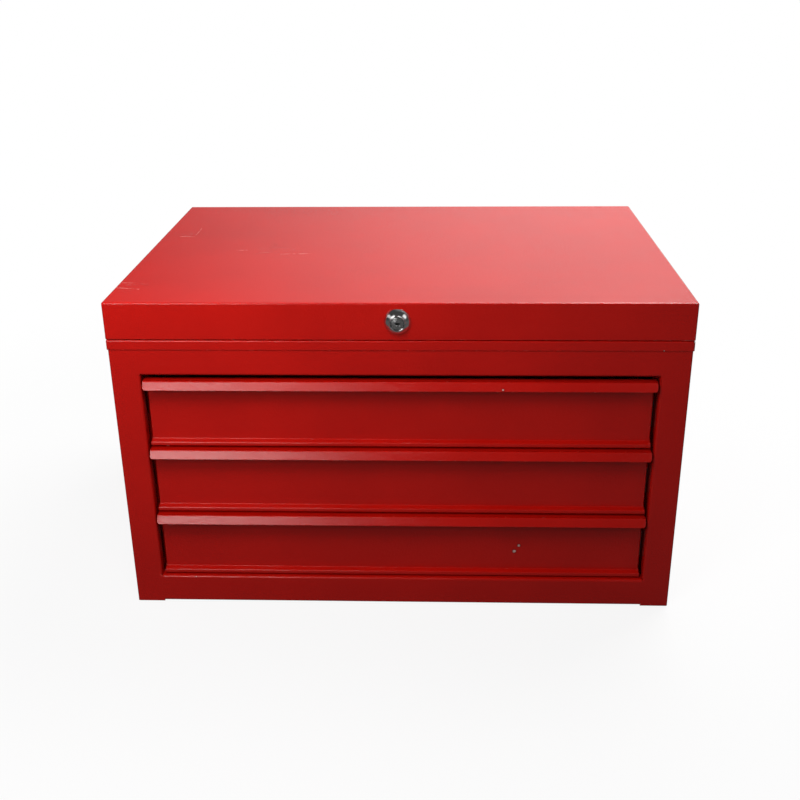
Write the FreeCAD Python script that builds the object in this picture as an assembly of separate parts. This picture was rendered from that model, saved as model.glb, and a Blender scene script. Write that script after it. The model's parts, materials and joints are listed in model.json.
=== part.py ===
import FreeCAD, Part
import math
import os

from FreeCAD import Vector

# A portable steel tool box: a folded cabinet with three drawers on sliding rails, an open tray on top
# of them, and a hinged box lid with a cam lock. Lengths are millimetres. X runs from left to right as
# seen from the front, Y from front to back, Z upwards from the floor.

# Overall size, over the lid and the rim of the top tray
width = 640.0
depth = 460.0
sheet = 1.0
corner_radius = 2.0

# Heights, from the floor up
bottom_rail = 35.5
bottom_gap = 1.5
drawer_pitch = 84.6
drawer_gap = 2.6
top_gap = 6.3
top_rail = 41.5
seam_gap = 1.2
lid_height = 41.8

# Cabinet
post_width = 33.5
post_return = 12.0
opening_radius = 3.0
rail_return = 14.0
rear_flange = 14.0
foot_flange = 15.0
pan_upstand = 20.0

# Top tray
rim_flange = 11.0
rim_radius = 1.4
tray_depth = 35.8
tray_radius = 3.0

# Uprights that carry the rails
upright_width = 30.0
upright_inset = 27.0
rail_rear_margin = 12.0

# Drawer fronts: depths are measured back from the face of the posts
front_sheet = 1.0
front_side_gap = 3.5
lip_side_gap = 2.5
panel_recess = 10.5
bead_recess = 4.0
bead_height = 4.8
bead_rise = 1.6
bead_return = 6.0
fold_radius = 1.3
lip_reach = 6.0
lip_bend_reach = 1.0
lip_drop = 9.0
lip_corner = 3.5
front_return = 11.0

# Drawer trays
tray_sheet = 0.8
drawer_rear_gap = 49.5
drawer_wall = 60.0
drawer_lift = 6.0
drawer_hem = 7.0
drawer_corner = 2.0

# Three-part sliding rails
rail_space = 13.0
rail_sheet = 1.0
rail_height = 35.0
rail_rear_gap = 41.0
rail_centre = 34.0
rail_setback = 26.0
rail_running_gap = 0.4
rail_web_gap = 0.5
rail_tip_gap = 0.6
middle_rail_setback = 20.0

# Lid
lid_edge_radius = 1.8
lid_hem = 8.5
brace_width = 34.0
brace_depth = 8.0
brace_foot = 10.0
brace_margin = 60.0

# Long hinge
hinge_sheet = 1.0
hinge_length = 600.0
hinge_leaf = 8.5
knuckle_radius = 2.55
hinge_pin_radius = 1.5
running_clearance = 0.05
knuckle_count = 24
knuckle_gap = 0.3
leaf_clearance = 0.3
hinge_rivet_count = 8
hinge_rivet_margin = 35.0

# Rivets
rivet_radius = 1.6
rivet_head_radius = 3.0
rivet_head_height = 1.1
rivet_tail_height = 0.9

# Cam lock in the front of the lid
collar_radius = 14.5
collar_edge = 1.0
collar_shoulder = 9.6
collar_rise = 6.4
nose_radius = 8.8
lock_reach = 8.2
nose_recess = 1.0
plug_radius = 7.4
plug_boss_radius = 3.9
plug_boss_height = 0.6
key_width = 5.1
key_height = 1.5
key_depth = 6.0
lock_thread_radius = 9.5
lock_length = 15.0
nut_across_flats = 24.0
nut_height = 4.0
drive_side = 6.0
drive_length = 2.8
cam_sheet = 2.0
cam_hub_radius = 8.0
cam_reach = 27.5
cam_arm_width = 9.0
hook_clearance = 1.0
hook_width = 4.9
hook_arc_deg = 40.0
cam_rest_deg = 33.0
cam_screw_radius = 2.0
cam_screw_head_radius = 4.0
cam_screw_head_height = 2.6
cam_screw_length = 7.0

# Catch for the cam, on the inside of the top tray
striker_sheet = 1.6
striker_width = 30.0
striker_foot = 22.0
striker_tab_width = 10.0
striker_tab_reach = 15.5
striker_rise = 1.6

# Folding stays that hold the lid open
stay_reach = 46.0
stay_drop = 28.0
stay_sheet = 2.0
stay_width = 11.0
stay_wall_gap = 0.9
stay_link_gap = 0.6
stay_pin_radius = 2.5
stay_pin_head_radius = 4.2
stay_pin_head = 1.4
stay_pin_clearance = 0.1
elbow_clearance = 0.3

# Fold-down carrying handles on the sides
plate_sheet = 1.5
plate_length = 130.0
plate_height = 44.0
plate_radius = 5.0
handle_height = 212.0
ear_sheet = 2.5
ear_spacing = 106.0
ear_height = 22.0
ear_reach = 13.5
pivot_reach = 8.5
pivot_drop = 4.0
bail_radius = 3.5
bail_width = 88.0
bail_drop = 38.0
bail_bend = 9.0
bail_end_reach = 4.0
handle_rivet_margin = 6.5

# Rod at the rear that locks the drawers
rod_x = 236.0
rod_width = 12.0
rod_sheet = 2.0
rod_setback = 20.0
rod_foot = 40.0
rod_top_gap = 6.0
rod_clearance = 0.5
pad_reach = 10.0
hook_rod_reach = 18.0
hook_drop = 8.0
catch_gap = 2.0
catch_reach = 16.0
catch_width = 24.0
catch_slot_margin = 1.5
guide_sheet = 1.5
guide_height = 16.0
guide_wing = 11.0
guide_low = 62.0
guide_high = 228.0
spring_wire = 0.6
spring_radius = 4.4
spring_turns = 6
spring_seat = 17.0

# Bracket under the lid that stands over the rod's top
presser_sheet = 1.5
presser_width = 10.0
presser_rise = 0.8
presser_gap = 1.0

# How far cuts run past what they cut, and the distance below which two points are one
overrun = 5.0
same_place = 1e-6

# The three drawers, from the lowest up
drawer_names = ("bottom", "middle", "top")
sides = (("left", -1), ("right", 1))

# Planes and levels worked out from the sizes above
half_width = width / 2
hinge_reach = 2 * knuckle_radius
mid_y = (lock_reach - hinge_reach) / 2
front = mid_y - depth / 2
back = mid_y + depth / 2
wall_x = half_width - sheet
wall_front = front + sheet
wall_back = back - sheet
inner_x = wall_x - sheet
inner_back = wall_back - sheet
opening_half = half_width - post_width
opening_low = bottom_rail
opening_high = opening_low + bottom_gap + len(drawer_names) * drawer_pitch - drawer_gap + top_gap
rim_top = opening_high + top_rail
wall_top = rim_top - sheet
tray_low = rim_top - tray_depth - sheet
tray_floor = tray_low + sheet
tray_inner_x = inner_x - sheet
tray_front = front + 3 * sheet
tray_back = back - 3 * sheet
lid_low = rim_top + seam_gap
lid_top = lid_low + lid_height
hinge_y = back + knuckle_radius
hinge_z = rim_top + seam_gap / 2
floor_top = 2 * sheet
rail_front = wall_front + rail_setback
drawer_front_y = wall_front + panel_recess + front_sheet
drawer_back_y = inner_back - drawer_rear_gap
rail_length = inner_back - rail_rear_gap - rail_front
drawer_half = opening_half - rail_space


def save(name, shape):
    """Writes one piece to its own STEP file."""
    shape.exportStep(os.path.join("parts", name + ".step"))


def block(x_low, x_high, y_low, y_high, z_low, z_high):
    """Rectangular block between two corners, given in any order."""
    size = (abs(x_high - x_low), abs(y_high - y_low), abs(z_high - z_low))
    low = Vector(min(x_low, x_high), min(y_low, y_high), min(z_low, z_high))
    return Part.makeBox(*size, low)


def turned(points, origin, axis, across):
    """Solid turned about an axis from (distance along it, radius) pairs. A pair in a list is the middle
    of an arc between its neighbours."""
    def place(pair):
        return origin + axis * pair[0] + across * pair[1]

    loop = points + points[:1]
    edges = []
    for before, here, after in zip(loop, loop[1:], loop[2:] + loop[1:2]):
        if isinstance(here, list):
            edges.append(Part.Arc(place(before), place(here), place(after)).toShape())
        elif not isinstance(before, list):
            edges.append(Part.makeLine(place(before), place(here)))
    return Part.Face(Part.Wire(edges)).revolve(origin, axis, 360)


def fold_offset(points, radii, side):
    """Edges, as (kind, points) pairs, of one side of a folded strip whose middle line is given."""
    path = [complex(*point) for point in points]
    runs = [path[i + 1] - path[i] for i in range(len(path) - 1)]
    units = [run / abs(run) for run in runs]
    edges = []
    start = path[0] + 1j * units[0] * side
    for i, radius in enumerate(radii):
        before, after = units[i], units[i + 1]
        turn = math.atan2((before.conjugate() * after).imag, (before.conjugate() * after).real)
        inset = radius * math.tan(abs(turn) / 2)
        hand = math.copysign(1, turn)
        centre = path[i + 1] - before * inset + 1j * before * hand * radius
        reach = (side - hand * radius) * 1j
        steps = [complex(math.cos(turn * part), math.sin(turn * part)) for part in (0, 1 / 2, 1)]
        stations = [centre + reach * before * step for step in steps]
        edges.append(("line", [start, stations[0]]))
        edges.append(("arc", stations))
        start = stations[2]
    edges.append(("line", [start, path[-1] + 1j * units[-1] * side]))
    return [(kind, spots) for kind, spots in edges if abs(spots[-1] - spots[0]) > same_place]


def folded(points, radii, thickness, place, sweep):
    """Folded sheet: its middle line in a plane, its fold radii on that line, and the sweep across it."""
    left = fold_offset(points, radii, thickness / 2)
    right = fold_offset(points, radii, -thickness / 2)
    loop = left + [(kind, list(reversed(spots))) for kind, spots in reversed(right)]
    edges = []
    for index, (kind, spots) in enumerate(loop):
        at = [place(spot.real, spot.imag) for spot in spots]
        edges.append(Part.makeLine(at[0], at[1]) if kind == "line" else Part.Arc(*at).toShape())
        following = loop[(index + 1) % len(loop)][1][0]
        joint = place(following.real, following.imag)
        if (joint - at[-1]).Length > thickness / 2:
            edges.append(Part.makeLine(at[-1], joint))
    return Part.Face(Part.Wire(edges)).extrude(sweep)


def round_edges(shape, radius, wanted):
    """Rounds the edges whose bounding boxes are wanted."""
    return shape.makeFillet(radius, [edge for edge in shape.Edges if wanted(edge.BoundBox)])


def upright_edge(box):
    """True for a straight edge that stands upright."""
    return box.ZLength > box.XLength + box.YLength


def rounded_box(x_half, y_low, y_high, z_low, z_high, radius):
    """Box, centred across the width, with rounded upright corners."""
    return round_edges(block(-x_half, x_half, y_low, y_high, z_low, z_high), radius, upright_edge)


def fused(shapes):
    """One clean solid made of several that meet."""
    return shapes[0].multiFuse(shapes[1:]).removeSplitter()


def parted(shape, blocks):
    """Solids of a folded sheet, parted at its folds, where the blocks' faces pass through it."""
    pieces = []
    for one in blocks:
        pieces += shape.common(one).Solids
        shape = shape.cut(one)
    return pieces + shape.Solids


def mirrored(shape, side):
    """The shape itself for the right side, or its mirror image for the left."""
    return shape if side > 0 else shape.mirror(Vector(0, 0, 0), Vector(1, 0, 0))


def plan(z):
    """Places a plan outline at height z."""
    return lambda x, y: Vector(x, y, z)


def side_view(x):
    """Places an outline of (y, z) pairs at x."""
    return lambda y, z: Vector(x, y, z)


def front_view(y):
    """Places an outline of (x, z) pairs at y."""
    return lambda x, z: Vector(x, y, z)


# Cabinet walls. Each side is one sheet, bent round the front corner into a post.
def side_panel(side):
    middle = sheet / 2
    bend = corner_radius - middle
    wall = wall_x - middle
    face = wall_front + middle
    rear = inner_back - middle
    edge = opening_half + opening_radius
    outside = [(opening_half, face), (wall, face), (wall, rear), (wall - rear_flange, rear)]
    low = folded(outside, [bend, bend], sheet, plan(0), Vector(0, 0, tray_low))
    plain = outside[:2] + [(wall, inner_back)]
    high = folded(plain, [bend], sheet, plan(tray_low), Vector(0, 0, wall_top - tray_low))
    doorway = block(opening_half - overrun, edge, front, wall_front + 2 * sheet, opening_low, opening_high)
    jamb = [(opening_half + middle, wall_front + post_return), (opening_half + middle, face), (edge, face)]
    height = Vector(0, 0, opening_high - opening_low)
    jamb_return = folded(jamb, [opening_radius - middle], sheet, plan(opening_low), height)
    foot = block(wall_x - foot_flange, wall, wall_front + corner_radius, inner_back - corner_radius, 0, sheet)
    body = fused([fused([low, high]).cut(doorway), jamb_return, foot])
    holes = rivet_holes(handle_rivets(1) + stay_rivets("tray"))
    return mirrored(body.cut(fused(holes)), side)


def rail_profile(face_low, face_high, toward):
    """Middle line of a front rail, whose face turns back at the height given last."""
    face = wall_front + sheet / 2
    far = face_low if toward == face_high else face_high
    turn = toward - math.copysign(sheet / 2, toward - far)
    return [(wall_front + rail_return, turn), (face, turn), (face, far)]


def front_top_rail():
    profile = rail_profile(opening_high, wall_top, opening_high)
    bend = [opening_radius - sheet / 2]
    return folded(profile, bend, sheet, side_view(-opening_half), Vector(2 * opening_half, 0, 0))


def bottom_pan():
    middle = sheet / 2
    profile = rail_profile(0, opening_low, opening_low)[:2]
    under = sheet + middle
    seat = wall_front + post_return
    profile = profile + [(wall_front + middle, under), (seat, under)]
    bends = [opening_radius - middle, corner_radius - middle]
    rail = folded(profile, bends, sheet, side_view(-opening_half), Vector(2 * opening_half, 0, 0))
    upstand_x = inner_x - middle
    section = [(-upstand_x, pan_upstand), (-upstand_x, under), (upstand_x, under), (upstand_x, pan_upstand)]
    rear = inner_back - sheet - corner_radius
    sweep = Vector(0, rear - seat, 0)
    trough = folded(section, [corner_radius, corner_radius], sheet, front_view(seat), sweep)
    rear_half = inner_x - rear_flange
    floor = block(-rear_half, rear_half, rear, inner_back, sheet, floor_top)
    lift = block(-rear_half, rear_half, inner_back - sheet, inner_back, sheet, pan_upstand)
    return fused([rail, trough, floor, lift])


def back_panel():
    panel = block(-wall_x, wall_x, inner_back, wall_back, sheet, wall_top)
    return panel.cut(fused(rivet_holes(body_hinge_rivets())))


def upright(side, y_start):
    """Channel between a side wall and the rails, standing on the floor pan."""
    middle = sheet / 2
    start = y_start + middle
    end = y_start + upright_width - middle
    web = opening_half + middle
    section = [(inner_x, start), (web, start), (web, end), (inner_x, end)]
    height = Vector(0, 0, tray_low - pan_upstand)
    channel = folded(section, [corner_radius, corner_radius], sheet, plan(pan_upstand), height)
    toe_end = inner_x - corner_radius - sheet
    toe = block(opening_half, toe_end, y_start, y_start + sheet, floor_top, pan_upstand)
    heel = toe.translated(Vector(0, upright_width - sheet, 0))
    return mirrored(fused([channel, toe, heel]), side)


# Top tray: a wall all round, whose upper edge folds out over the cabinet's walls as a rim, on a floor sheet.
def top_tray():
    rim = rounded_box(half_width, front, back, rim_top - rim_flange, rim_top, corner_radius)
    rim = round_edges(rim, rim_radius, lambda box: box.ZMin > rim_top - sheet)
    inner_y = (wall_front + sheet, inner_back)
    wall = rounded_box(inner_x, *inner_y, tray_floor, rim_top, tray_radius)
    slot = block(-wall_x, wall_x, wall_front, wall_back, tray_low, wall_top)
    slot = slot.cut(rounded_box(inner_x, *inner_y, tray_low, wall_top, tray_radius))
    hollow_z = (tray_low, rim_top + overrun)
    hollow = rounded_box(tray_inner_x, tray_front, tray_back, *hollow_z, tray_radius - sheet)
    holes = rivet_holes(body_hinge_rivets() + stay_rivets("tray"))
    walls = fused([rim.cut(slot), wall.cut(slot)]).cut(hollow).cut(fused(holes))
    passage = block(rod_x - rod_clearance, rod_x + rod_width + rod_clearance,
                    rod_back_y - rod_sheet - pad_reach, rod_back_y + rod_clearance,
                    tray_low - overrun, tray_floor + overrun)
    floor = rounded_box(inner_x, *inner_y, tray_low, tray_floor, tray_radius).cut(passage)
    return Part.makeCompound([walls, floor])


# Lid: a shallow box, its lower edge hemmed inwards.
def lid_shell():
    shell = rounded_box(half_width, front, back, lid_low, lid_top, corner_radius)
    shell = round_edges(shell, lid_edge_radius, lambda box: box.ZMin > lid_top - sheet)
    hem_top = lid_low + lid_hem
    inner_radius = corner_radius - sheet / 2
    inside = rounded_box(wall_x, wall_front, wall_back, lid_low - overrun, lid_top - sheet, inner_radius)
    hem = rounded_box(wall_x, wall_front, wall_back, lid_low, hem_top, inner_radius)
    throat_front = wall_front + sheet
    throat_z = (lid_low - overrun, hem_top + overrun)
    throat = rounded_box(inner_x, throat_front, inner_back, *throat_z, inner_radius)
    body = fused([shell.cut(inside), hem.cut(throat)])
    start = Vector(0, front - sheet, lock_z)
    keyhole = Part.makeCylinder(lock_thread_radius, 4 * sheet, start, Vector(0, 1, 0))
    return body.cut(keyhole).cut(fused(rivet_holes(lid_hinge_rivets() + stay_rivets("lid"))))


def lid_brace():
    """Hat-section stiffener spot-welded under the lid's top, from side to side."""
    top = lid_top - sheet - sheet / 2
    low = lid_top - sheet - brace_depth + sheet / 2
    foot = brace_width / 2
    crown = foot - brace_foot
    section = [(mid_y - foot, top), (mid_y - crown, top), (mid_y - crown, low), (mid_y + crown, low),
               (mid_y + crown, top), (mid_y + foot, top)]
    reach = half_width - brace_margin
    bends = [corner_radius] * (len(section) - 2)
    return folded(section, bends, sheet, side_view(-reach), Vector(2 * reach, 0, 0))


# Long hinge along the back: two leaves with alternating knuckles on one wire pin.
def hinge_leaf_shape(upper):
    sense = 1 if upper else -1
    pitch = hinge_length / knuckle_count
    face = hinge_y - knuckle_radius
    clear = hinge_z + sense * (knuckle_radius + leaf_clearance)
    far = clear + sense * hinge_leaf
    half = hinge_length / 2
    pieces = [block(-half, half, face, face + hinge_sheet, clear, far)]
    for index in range(knuckle_count):
        if (index % 2 == 0) == upper:
            start = -half + index * pitch + knuckle_gap / 2
            length = pitch - knuckle_gap
            centre = Vector(start, hinge_y, hinge_z)
            pieces.append(Part.makeCylinder(knuckle_radius, length, centre, Vector(1, 0, 0)))
            pieces.append(block(start, start + length, face, face + hinge_sheet, hinge_z, clear))
    bore = Part.makeCylinder(hinge_pin_radius + running_clearance, hinge_length + 2 * overrun,
                             Vector(-half - overrun, hinge_y, hinge_z), Vector(1, 0, 0))
    rivets = lid_hinge_rivets() if upper else body_hinge_rivets()
    return fused(pieces).cut(bore).cut(fused(rivet_holes(rivets)))


def hinge_pin():
    start = Vector(-hinge_length / 2, hinge_y, hinge_z)
    return Part.makeCylinder(hinge_pin_radius, hinge_length, start, Vector(1, 0, 0))


# Rivets are given as (centre of the outer face, direction into the sheets, thickness gripped).
def rivet_row(z, grip):
    spacing = (hinge_length - 2 * hinge_rivet_margin) / (hinge_rivet_count - 1)
    first = -hinge_length / 2 + hinge_rivet_margin
    y = back + hinge_sheet
    inward = Vector(0, -1, 0)
    return [(Vector(first + index * spacing, y, z), inward, grip) for index in range(hinge_rivet_count)]


def body_hinge_rivets():
    z = hinge_z - knuckle_radius - leaf_clearance - hinge_leaf / 2
    return rivet_row(z, hinge_sheet + 3 * sheet)


def lid_hinge_rivets():
    z = hinge_z + knuckle_radius + leaf_clearance + hinge_leaf / 2
    return rivet_row(z, hinge_sheet + 2 * sheet)


def handle_rivets(side):
    reach = plate_length / 2 - handle_rivet_margin
    rise = plate_height / 2 - handle_rivet_margin
    x = side * (wall_x + plate_sheet)
    spots = [(y, z) for y in (-reach, reach) for z in (-rise, rise)]
    inward = Vector(-side, 0, 0)
    return [(Vector(x, mid_y + y, handle_height + z), inward, plate_sheet + sheet) for y, z in spots]


def rivet_holes(rivets):
    return [Part.makeCylinder(rivet_radius, grip + 2 * sheet, at - inward * sheet, inward)
            for at, inward, grip in rivets]


def rivet(at, inward, grip):
    """Rivet with a domed head, a shank through the sheets and a low formed tail."""
    across = Vector(0, 0, 1)
    half = rivet_head_height / 2
    narrow = (rivet_radius + rivet_head_radius) / 2
    outline = [(-rivet_head_height, 0), (-rivet_head_height, narrow), (-half, rivet_head_radius),
               (0, rivet_head_radius), (0, rivet_radius), (grip, rivet_radius), (grip, narrow),
               (grip + rivet_tail_height, narrow), (grip + rivet_tail_height, 0)]
    return turned(outline, at, inward, across)


# Cam lock through the front skirt of the lid.
lock_z = lid_low + lid_height / 2
lock_back_y = front + lock_length
cam_y = lock_back_y + running_clearance


def lock_body():
    origin = Vector(0, front, lock_z)
    axis = Vector(0, 1, 0)
    across = Vector(1, 0, 0)
    dome = (collar_radius + collar_shoulder) / 2 + collar_edge
    bore = plug_radius + running_clearance
    ring = (nose_radius + bore) / 2
    shoulder = lock_reach - (nose_radius - bore) / 2
    outline = [(0, bore), (0, collar_radius), (-collar_edge, collar_radius), [-collar_rise / 2, dome],
               (-collar_rise, collar_shoulder), (-collar_rise, nose_radius), (-shoulder, nose_radius),
               [-lock_reach, ring], (-shoulder, bore)]
    collar = turned(outline, origin, axis, across)
    thread = Part.makeCylinder(lock_thread_radius, lock_length, origin, axis)
    tunnel = Part.makeCylinder(bore, lock_length + overrun, origin - axis * overrun, axis)
    return fused([collar, thread.cut(tunnel)])


def lock_plug():
    axis = Vector(0, 1, 0)
    face = front - lock_reach + nose_recess
    length = lock_back_y - face
    plug = Part.makeCylinder(plug_radius, length, Vector(0, face, lock_z), axis)
    boss_start = Vector(0, face - plug_boss_height, lock_z)
    boss = Part.makeCylinder(plug_boss_radius, plug_boss_height, boss_start, axis)
    chamfer = plug_boss_height / 2
    boss = boss.makeChamfer(chamfer, [edge for edge in boss.Edges if edge.BoundBox.YMax < face - chamfer])
    half = drive_side / 2
    drive = block(-half, half, lock_back_y, lock_back_y + drive_length, lock_z - half, lock_z + half)
    slot = block(-key_width / 2, key_width / 2, face - overrun, face + key_depth,
                 lock_z - key_height / 2, lock_z + key_height / 2)
    tap = Part.makeCylinder(cam_screw_radius, cam_screw_length, Vector(0, lock_back_y + drive_length, lock_z),
                            Vector(0, -1, 0))
    return fused([plug, boss, drive]).cut(slot).cut(tap)


def lock_nut():
    corner = nut_across_flats / math.sqrt(3)
    y = wall_front + sheet
    points = [Vector(corner * math.cos(math.pi * k / 3), y, lock_z + corner * math.sin(math.pi * k / 3))
              for k in range(6)]
    prism = Part.Face(Part.makePolygon(points + points[:1])).extrude(Vector(0, nut_height, 0))
    washer = Part.makeCylinder(nut_across_flats / 2, sheet, Vector(0, wall_front, lock_z), Vector(0, 1, 0))
    bore = Part.makeCylinder(lock_thread_radius, nut_height + 2 * sheet, Vector(0, wall_front, lock_z),
                             Vector(0, 1, 0))
    return fused([prism, washer]).cut(bore)


def sector(inner, outer, start_deg, end_deg, y, thickness):
    """Part of a flat ring about the lock's axis, between two angles above the X axis."""
    centre = Vector(0, y, lock_z)

    def spot(radius, degrees):
        angle = math.radians(degrees)
        return centre + Vector(radius * math.cos(angle), 0, radius * math.sin(angle))

    middle = (start_deg + end_deg) / 2
    edges = [Part.Arc(spot(outer, start_deg), spot(outer, middle), spot(outer, end_deg)).toShape(),
             Part.makeLine(spot(outer, end_deg), spot(inner, end_deg)),
             Part.Arc(spot(inner, end_deg), spot(inner, middle), spot(inner, start_deg)).toShape(),
             Part.makeLine(spot(inner, start_deg), spot(outer, start_deg))]
    return Part.Face(Part.Wire(edges)).extrude(Vector(0, thickness, 0))


def lock_cam():
    """Flat cam whose hook swings in under the striker's tab."""
    axis = Vector(0, 1, 0)
    hub = Part.makeCylinder(cam_hub_radius, cam_sheet, Vector(0, cam_y, lock_z), axis)
    arm = block(0, cam_reach - hook_width / 2, cam_y, cam_y + cam_sheet, lock_z - cam_arm_width / 2,
                lock_z + cam_arm_width / 2)
    arm.rotate(Vector(0, 0, lock_z), axis, -cam_rest_deg)
    arm_half_deg = math.degrees(cam_arm_width / 2 / cam_reach)
    hook = sector(cam_reach - hook_width, cam_reach, cam_rest_deg - hook_arc_deg, cam_rest_deg + arm_half_deg,
                  cam_y, cam_sheet)
    half = drive_side / 2 + running_clearance
    window = block(-half, half, cam_y - sheet, cam_y + cam_sheet + sheet, lock_z - half, lock_z + half)
    return fused([hub, arm, hook]).cut(window)


def cam_screw():
    seat = lock_back_y + drive_length
    axis = Vector(0, 1, 0)
    head = Part.makeCylinder(cam_screw_head_radius, cam_screw_head_height, Vector(0, seat, lock_z), axis)
    shank = Part.makeCylinder(cam_screw_radius, cam_screw_length, Vector(0, seat, lock_z), Vector(0, -1, 0))
    driver = block(-cam_screw_head_radius, cam_screw_head_radius, seat + cam_screw_head_height / 2,
                   seat + cam_screw_head_height + overrun, lock_z - key_height / 2, lock_z + key_height / 2)
    return fused([head, shank]).cut(driver)


def lock_striker():
    """Bracket on the tray's front wall, with a tab for the cam to hook under."""
    underside = lock_z - (cam_reach - hook_width) + hook_clearance
    plate = block(-striker_width / 2, striker_width / 2, tray_front, tray_front + striker_sheet,
                  rim_top - rim_flange - striker_foot / 2, rim_top - sheet)
    neck = block(-striker_tab_width / 2, striker_tab_width / 2, tray_front, tray_front + striker_sheet,
                 rim_top - sheet, underside + striker_rise)
    tab = block(-striker_tab_width / 2, striker_tab_width / 2, tray_front, tray_front + striker_tab_reach,
                underside, underside + striker_rise)
    return fused([plate, neck, tab])


# Folding stays. With the hinge's axis their four pivots make a parallelogram, so one link turns
# with the lid and the other keeps its direction.
stay_low = Vector(0, hinge_y - stay_reach, hinge_z - stay_drop)
stay_high = Vector(0, hinge_y - stay_reach, hinge_z + stay_drop)
stay_elbow = Vector(0, hinge_y - 2 * stay_reach, hinge_z)
stay_outer_x = tray_inner_x - stay_wall_gap
stay_inner_x = stay_outer_x - stay_sheet - stay_link_gap


def stay_rivets(place):
    """Hole places for the fixed pivots of both stays, in the tray's walls or in the lid's skirt."""
    centre = stay_low if place == "tray" else stay_high
    start = half_width
    grip = half_width - tray_inner_x
    return [(Vector(side * start, centre.y, centre.z), Vector(-side, 0, 0), grip) for _, side in sides]


def link(start, end, x_outer, hole_radius_start, hole_radius_end):
    """Flat link with round ends between two pivots, its outer face at x_outer."""
    run = Vector(end.x - start.x, end.y - start.y, end.z - start.z)
    angle = math.degrees(math.atan2(run.z, run.y))
    half = stay_width / 2
    inward = Vector(-1, 0, 0)
    bar = block(x_outer - stay_sheet, x_outer, 0, run.Length, -half, half)
    bar.rotate(Vector(0, 0, 0), Vector(1, 0, 0), angle)
    bar.translate(Vector(0, start.y, start.z))
    ends = [Part.makeCylinder(half, stay_sheet, Vector(x_outer, spot.y, spot.z), inward)
            for spot in (start, end)]
    body = fused([bar] + ends)
    for spot, radius in ((start, hole_radius_start), (end, hole_radius_end)):
        if radius:
            outside = Vector(x_outer + stay_sheet, spot.y, spot.z)
            body = body.cut(Part.makeCylinder(radius, 4 * stay_sheet, outside, inward))
    return body


def stay_pin(centre, x_wall, x_far):
    """Headed pivot pin from a wall inwards, past the link that turns on it."""
    inward = Vector(-1, 0, 0)
    across = Vector(0, 1, 0)
    reach = x_wall - x_far
    outline = [(0, 0), (0, stay_pin_radius), (reach, stay_pin_radius), (reach, stay_pin_head_radius),
               (reach + stay_pin_head, stay_pin_head_radius), (reach + stay_pin_head, 0)]
    return turned(outline, Vector(x_wall, centre.y, centre.z), inward, across)


def stay_lower_link(side):
    """Link from the tray's wall to the elbow, with the elbow's pin in it."""
    body = link(stay_low, stay_elbow, stay_outer_x, stay_pin_radius + stay_pin_clearance, 0)
    far = stay_inner_x - stay_sheet - stay_link_gap / 2
    elbow = stay_pin(stay_elbow, stay_outer_x - stay_sheet, far)
    return mirrored(fused([body, elbow]), side)


def stay_upper_link(side):
    """Link from the lid to the elbow, with a clear hole there."""
    body = link(stay_high, stay_elbow, stay_inner_x, stay_pin_radius + stay_pin_clearance,
                stay_pin_radius + elbow_clearance)
    return mirrored(body, side)


def stay_pivots(place):
    """Headed pins of both stays in the tray's walls or in the lid's sides."""
    lower = place == "tray"
    wall = tray_inner_x if lower else wall_x
    outside = wall_x if lower else half_width
    link_face = (stay_outer_x if lower else stay_inner_x) - stay_sheet - stay_link_gap / 2
    centre = stay_low if lower else stay_high
    pins = []
    for _, side in sides:
        pin = stay_pin(centre, wall, link_face)
        outward = Vector(1, 0, 0)
        start = Vector(wall, centre.y, centre.z)
        seat = Vector(outside, centre.y, centre.z)
        shank = Part.makeCylinder(rivet_radius, outside - wall, start, outward)
        head = Part.makeCylinder(rivet_head_radius, rivet_tail_height, seat, outward)
        pins.append(mirrored(fused([pin, shank, head]), side))
    return pins


# Drawers.
def drawer_low(index):
    return opening_low + bottom_gap + index * drawer_pitch


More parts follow.
